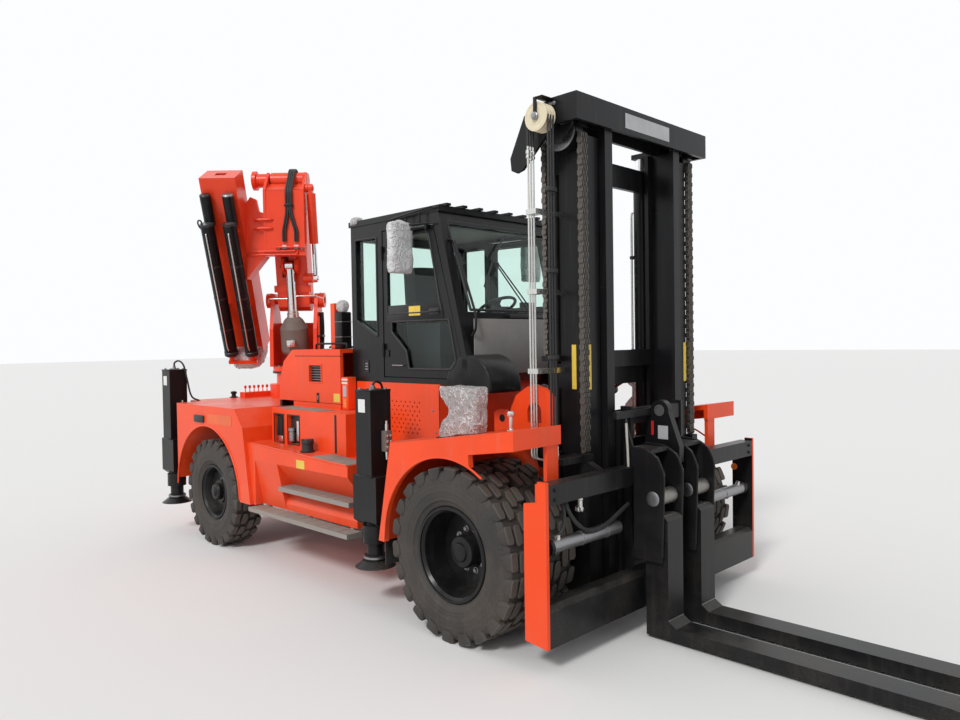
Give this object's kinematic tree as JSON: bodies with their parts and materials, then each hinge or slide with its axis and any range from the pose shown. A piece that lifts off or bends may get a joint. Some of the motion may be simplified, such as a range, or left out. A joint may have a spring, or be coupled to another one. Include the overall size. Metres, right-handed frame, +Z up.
{
  "type": "heavy forklift truck with folding crane",
  "caption": "Heavy counterbalance forklift truck with a two-stage mast, a wide fork carriage, a folding crane behind the cab and sliding stabiliser jacks.",
  "frame": {"origin": "on the ground under the middle of the parked truck's bounding box", "axes": "+X towards the forks, +Y to the truck's left, +Z up"},
  "size_m": [8.688, 2.994, 4.1662],
  "materials": {
    "paint": "gloss",
    "black": "satin",
    "steel": "satin",
    "tread": "matt",
    "tyre": "matt",
    "pane": "clear",
    "lining": "matt",
    "film": "crinkled",
    "cast": "matt",
    "roller": "satin",
    "hose": "matt"
  },
  "bodies": {
    "chassis": {"chassis_frame": "black", "counterweight": "paint", "axles": "black", "fenders": "paint", "side_tanks": "paint", "treads": "tread", "cab_base": "paint", "engine_block": "steel", "cab_shell": "black", "cab_glass": "pane", "cab_interior": "lining", "wrapped_lamps": "film", "jack_housings": "black", "crane_base": "paint"},
    "hood": {"hood": "paint", "hood_lamp": "film"},
    "door_right": {"door_right": "black", "door_right_glass": "pane"},
    "door_left": {"door_left": "black", "door_left_glass": "pane"},
    "jack_leg_fr": {"jack_leg_fr": "black"},
    "jack_leg_fl": {"jack_leg_fl": "black"},
    "jack_leg_rr": {"jack_leg_rr": "black"},
    "jack_leg_rl": {"jack_leg_rl": "black"},
    "wheel_fr": {"tyres_fr": "tyre", "rims_fr": "black"},
    "wheel_fl": {"tyres_fl": "tyre", "rims_fl": "black"},
    "knuckle_r": {"knuckle_r": "black"},
    "knuckle_l": {"knuckle_l": "black"},
    "wheel_rr": {"tyre_rr": "tyre", "rim_rr": "black"},
    "wheel_rl": {"tyre_rl": "tyre", "rim_rl": "black"},
    "mast": {"outer_mast": "black", "lift_barrels": "black", "mast_pipes": "steel", "chains_rear": "steel", "pipe_hoses": "hose"},
    "tilt_barrels": {"tilt_barrels": "black"},
    "tilt_rods": {"tilt_rods": "steel"},
    "inner_mast": {"inner_mast": "black", "lift_rods": "steel", "hose_roller": "roller", "chains_front": "steel", "mast_hoses": "hose"},
    "carriage": {"carriage": "black", "positioners": "steel"},
    "fork_right": {"fork_right": "black"},
    "fork_left": {"fork_left": "black"},
    "crane_column": {"crane_column": "paint"},
    "boom_lift_barrel": {"boom_lift_barrel": "cast"},
    "boom_lift_rod": {"boom_lift_rod": "steel"},
    "inner_boom": {"inner_boom": "paint"},
    "outer_boom": {"outer_boom": "paint", "boom_cylinders": "black"},
    "knuckle_barrel": {"knuckle_barrel": "paint"},
    "knuckle_rod": {"knuckle_rod": "steel"},
    "boom_extension": {"boom_extension": "paint"}
  },
  "joints": [
    {"name": "hood_hinge", "type": "hinge", "parent": "chassis", "child": "hood", "pos_m": [-2.34895, 0, 1.545], "axis": [0, -1, 0], "range_deg": [0, 60]},
    {"name": "door_right_hinge", "type": "hinge", "parent": "chassis", "child": "door_right", "pos_m": [-0.73095, -0.79, 2.4], "axis": [0, 0, -1], "range_deg": [0, 80]},
    {"name": "door_left_hinge", "type": "hinge", "parent": "chassis", "child": "door_left", "pos_m": [-0.73095, 0.67, 2.4], "axis": [0, 0, 1], "range_deg": [0, 80]},
    {"name": "jack_fr", "type": "slide", "parent": "chassis", "child": "jack_leg_fr", "axis": [0, 0, -1], "range_m": [0, 0.32]},
    {"name": "jack_fl", "type": "slide", "parent": "chassis", "child": "jack_leg_fl", "axis": [0, 0, -1], "range_m": [0, 0.32]},
    {"name": "jack_rr", "type": "slide", "parent": "chassis", "child": "jack_leg_rr", "axis": [0, 0, -1], "range_m": [0, 0.32]},
    {"name": "jack_rl", "type": "slide", "parent": "chassis", "child": "jack_leg_rl", "axis": [0, 0, -1], "range_m": [0, 0.32]},
    {"name": "wheel_fr_spin", "type": "hinge", "parent": "chassis", "child": "wheel_fr", "pos_m": [0.82105, -1.3075, 0.618], "axis": [0, 1, 0], "continuous": true},
    {"name": "wheel_fl_spin", "type": "hinge", "parent": "chassis", "child": "wheel_fl", "pos_m": [0.82105, 1.3075, 0.618], "axis": [0, 1, 0], "continuous": true},
    {"name": "steer_left", "type": "hinge", "parent": "chassis", "child": "knuckle_l", "pos_m": [-2.98895, 0.973, 0.559], "axis": [0, 0, 1], "range_deg": [-60, 60]},
    {"name": "steer_right", "type": "hinge", "parent": "chassis", "child": "knuckle_r", "pos_m": [-2.98895, -0.973, 0.559], "axis": [0, 0, 1], "range_deg": [-60, 60]},
    {"name": "wheel_rl_spin", "type": "hinge", "parent": "knuckle_l", "child": "wheel_rl", "pos_m": [-2.98895, 1.2125, 0.559], "axis": [0, 1, 0], "continuous": true},
    {"name": "wheel_rr_spin", "type": "hinge", "parent": "knuckle_r", "child": "wheel_rr", "pos_m": [-2.98895, -1.2125, 0.559], "axis": [0, 1, 0], "continuous": true},
    {"name": "mast_tilt", "type": "hinge", "parent": "chassis", "child": "mast", "pos_m": [1.07605, 0, 0.618], "axis": [0, 1, 0], "range_deg": [-10, 6]},
    {"name": "tilt_barrel_pivot", "type": "hinge", "parent": "chassis", "child": "tilt_barrels", "pos_m": [0.49105, 0, 1.49], "axis": [0, 1, 0], "range_deg": [-10.02, 6.21]},
    {"name": "tilt_rod_slide", "type": "slide", "parent": "tilt_barrels", "child": "tilt_rods", "axis": [0.8709, 0, 0.4914], "range_m": [-0.1876, 0.1146]},
    {"name": "mast_lift", "type": "slide", "parent": "mast", "child": "inner_mast", "axis": [0, 0, 1], "range_m": [0, 1.75], "deforming": ["chains_rear", "pipe_hoses"]},
    {"name": "carriage_lift", "type": "slide", "parent": "inner_mast", "child": "carriage", "axis": [0, 0, 1], "range_m": [0, 1.75], "deforming": ["chains_front", "mast_hoses"]},
    {"name": "fork_right_shift", "type": "slide", "parent": "carriage", "child": "fork_right", "axis": [0, -1, 0], "range_m": [0, 0.9]},
    {"name": "fork_left_shift", "type": "slide", "parent": "carriage", "child": "fork_left", "axis": [0, 1, 0], "range_m": [0, 0.9]},
    {"name": "crane_slew", "type": "hinge", "parent": "chassis", "child": "crane_column", "pos_m": [-3.45895, 0, 1.762], "axis": [0, 0, 1], "range_deg": [-135, 135]},
    {"name": "inner_boom_lift", "type": "hinge", "parent": "crane_column", "child": "inner_boom", "pos_m": [-3.45895, 0, 2.65], "axis": [0.7071, 0.7071, 0], "range_deg": [0, 60]},
    {"name": "boom_lift_barrel_pivot", "type": "hinge", "parent": "crane_column", "child": "boom_lift_barrel", "pos_m": [-3.41653, -0.04243, 1.93], "axis": [0.7071, 0.7071, 0], "range_deg": [-0.5, 21.72]},
    {"name": "boom_lift_rod_slide", "type": "slide", "parent": "boom_lift_barrel", "child": "boom_lift_rod", "axis": [0.1422, -0.1422, 0.9796], "range_m": [-0.34946, 0.002]},
    {"name": "outer_boom_fold", "type": "hinge", "parent": "inner_boom", "child": "outer_boom", "pos_m": [-3.26803, -0.19092, 4.055], "axis": [-0.7071, -0.7071, 0], "range_deg": [0, 150]},
    {"name": "knuckle_barrel_pivot", "type": "hinge", "parent": "outer_boom", "child": "knuckle_barrel", "pos_m": [-3.16197, -0.29698, 3.93], "axis": [-0.7071, -0.7071, 0], "range_deg": [-138.77, 0.5]},
    {"name": "knuckle_rod_slide", "type": "slide", "parent": "knuckle_barrel", "child": "knuckle_rod", "axis": [-0.1348, 0.1348, -0.9817], "range_m": [-0.002, 0.29113]},
    {"name": "boom_extend", "type": "slide", "parent": "outer_boom", "child": "boom_extension", "axis": [-0.321, 0.321, -0.891], "range_m": [0, 0.9]}
  ],
  "couplings": [
    {"joint": "steer_right", "follows": "steer_left", "ratio": 1},
    {"joint": "tilt_barrel_pivot", "follows": "mast_tilt", "ratio": 0.95162},
    {"joint": "tilt_rod_slide", "follows": "mast_tilt", "m_per_rad": 1.0461},
    {"joint": "carriage_lift", "follows": "mast_lift", "ratio": 1},
    {"joint": "boom_lift_barrel_pivot", "follows": "inner_boom_lift", "ratio": 0.35362},
    {"joint": "boom_lift_rod_slide", "follows": "inner_boom_lift", "m_per_rad": -0.3318},
    {"joint": "knuckle_barrel_pivot", "follows": "outer_boom_fold", "ratio": -0.92178},
    {"joint": "knuckle_rod_slide", "follows": "outer_boom_fold", "m_per_rad": 0.11044}
  ]
}
